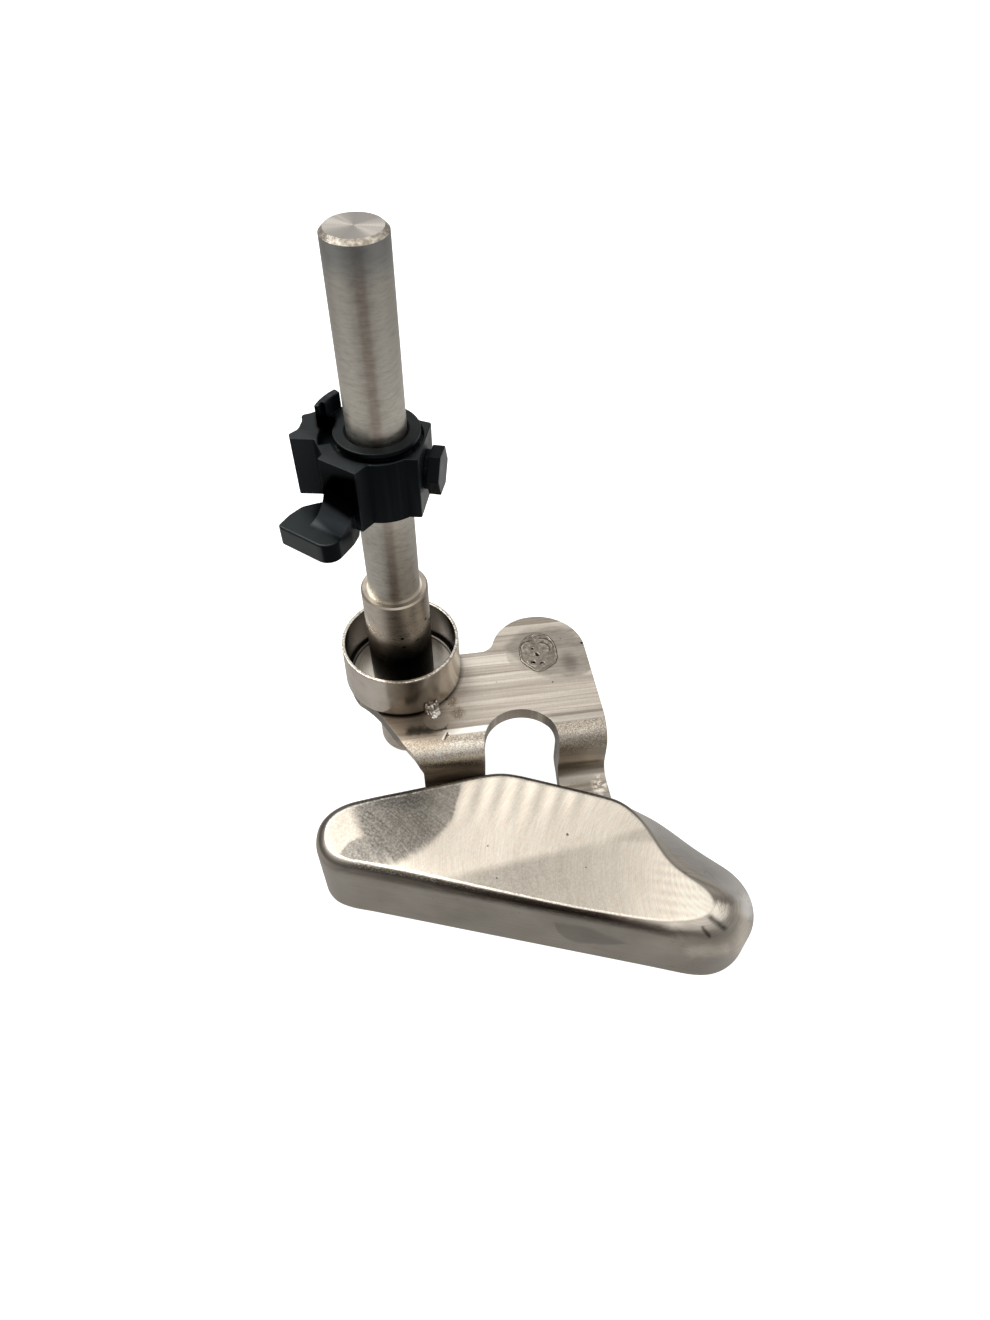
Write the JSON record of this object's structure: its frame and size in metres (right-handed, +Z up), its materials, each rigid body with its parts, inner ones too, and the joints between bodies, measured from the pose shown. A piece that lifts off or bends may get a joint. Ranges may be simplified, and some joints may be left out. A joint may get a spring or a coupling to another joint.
{
  "type": "kicker foot assembly with post and stop collar",
  "caption": "Machined metal foot on a cranked arm with hub, drip cup and round post; a plastic stop collar with thumb tab and hex clamp screw slides and turns on the post.",
  "frame": {"origin": "axis of the post at the top face of the arm plate", "axes": "+Z up the post, +X along the arm's bend line from the post towards the plug-welded lobe, +Y away from the foot"},
  "size_m": [0.1318, 0.1266, 0.1847],
  "materials": {
    "foot_steel": "fly-cut top, satin sides",
    "arm_steel": "milled",
    "hub_steel": "turned, satin",
    "post_steel": "turned, fine circumferential lines",
    "cup_steel": "drawn, polished",
    "weld_metal": "as welded",
    "bush_plastic": "satin moulded",
    "clamp_plastic": "satin moulded",
    "screw_plastic": "black coated",
    "spring_steel": "dark spring steel",
    "insert_brass": "turned"
  },
  "bodies": {
    "foot_and_post": {"foot_block": "foot_steel", "cranked_arm": "arm_steel", "pivot_hub": "hub_steel", "post_rod": "post_steel", "drip_cup": "cup_steel", "cup_tack_weld": "weld_metal", "hub_weld_ring": "weld_metal", "lobe_pin": "hub_steel", "lobe_plug_weld": "weld_metal", "left_leg_weld": "weld_metal", "right_leg_weld": "weld_metal"},
    "bush_carriage": {"collar_bush": "bush_plastic", "wave_washer": "spring_steel", "bush_retaining_ring": "spring_steel"},
    "collar": {"clamp_body": "clamp_plastic", "thread_insert": "insert_brass"},
    "pad": {"pressure_pad": "insert_brass"},
    "screw": {"clamp_screw": "screw_plastic"}
  },
  "joints": [
    {"name": "collar_slide", "type": "slide", "parent": "foot_and_post", "child": "bush_carriage", "axis": [0, 0, 1], "range_m": [-0.032, 0.048]},
    {"name": "collar_swivel", "type": "hinge", "parent": "bush_carriage", "child": "collar", "pos_m": [0, 0, 0.087], "axis": [0, 0, 1], "continuous": true},
    {"name": "pad_slide", "type": "slide", "parent": "collar", "child": "pad", "axis": [0.9516, -0.3074, 0], "range_m": [0, 0.002]},
    {"name": "screw_turn", "type": "hinge", "parent": "pad", "child": "screw", "pos_m": [0.0133, -0.0043, 0.0873], "axis": [0.9516, -0.3074, 0], "range_deg": [0, 720.5]}
  ],
  "couplings": [
    {"joint": "screw_turn", "follows": "pad_slide", "rad_per_m": 6283.2}
  ]
}
